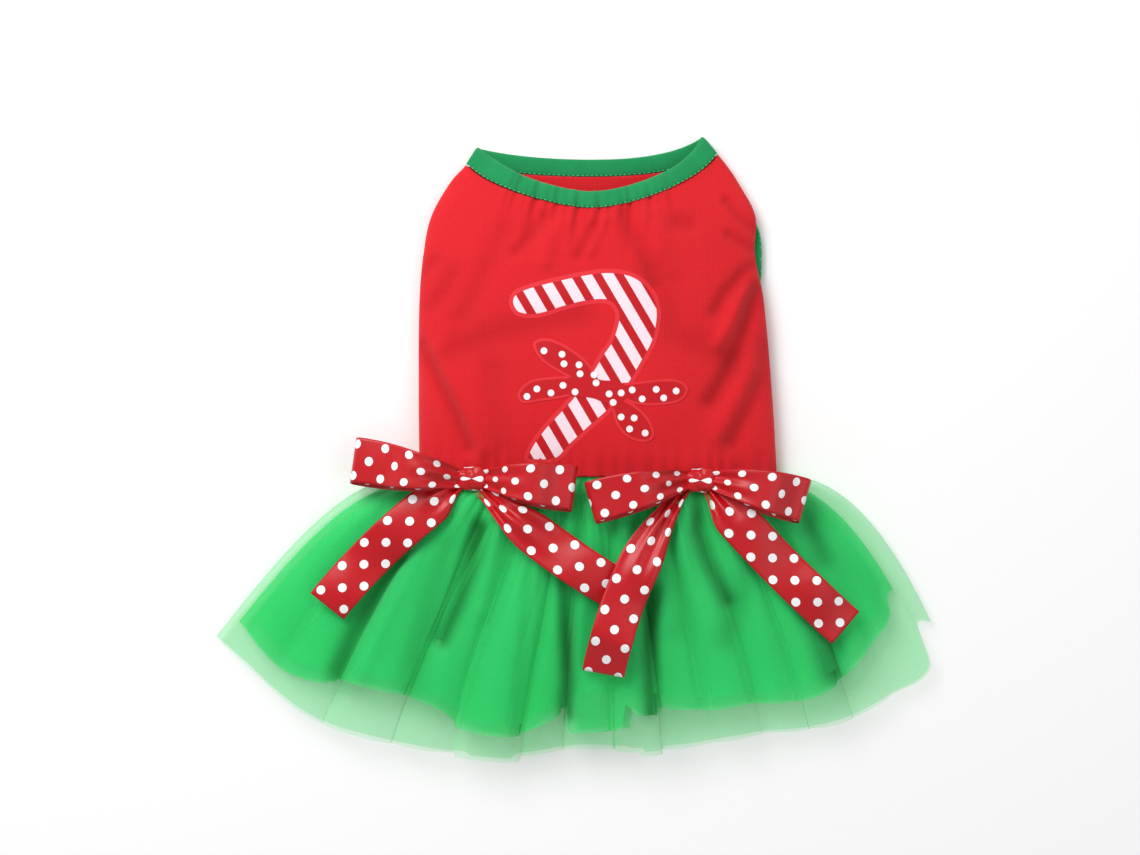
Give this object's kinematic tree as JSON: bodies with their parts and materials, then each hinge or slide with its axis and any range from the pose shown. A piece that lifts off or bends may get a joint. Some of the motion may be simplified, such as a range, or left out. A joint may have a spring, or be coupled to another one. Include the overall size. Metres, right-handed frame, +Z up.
{
  "type": "dog dress",
  "caption": "Small dog's sleeveless dress with a jersey bodice, neck and leg bindings, a gathered net skirt and satin ribbon bows, lying flat.",
  "frame": {"origin": "on the floor at the middle of the waist, 4 mm inside the bodice's hem, under the belly side", "axes": "+X to the dress's right as seen from above, +Y from waist to neck, +Z up from the floor through the back"},
  "size_m": [0.426, 0.3678, 0.0497],
  "materials": {
    "red_jersey": "matt knitted cotton jersey",
    "green_rib": "matt knitted rib",
    "green_net": "fine soft net, see-through",
    "red_satin": "glossy satin ribbon with white dots"
  },
  "bodies": {
    "root": {"bodice": "red_jersey", "neck_binding": "green_rib", "leg_binding_left": "green_rib", "leg_binding_right": "green_rib", "skirt_outer_layer": "green_net", "skirt_middle_layer": "green_net", "skirt_inner_layer": "green_net", "left_bow_knot": "red_satin", "left_bow_loop_left": "red_satin", "left_bow_loop_right": "red_satin", "left_bow_tail_left": "red_satin", "left_bow_tail_right": "red_satin", "right_bow_knot": "red_satin", "right_bow_loop_left": "red_satin", "right_bow_loop_right": "red_satin", "right_bow_tail_left": "red_satin", "right_bow_tail_right": "red_satin"}
  },
  "joints": []
}
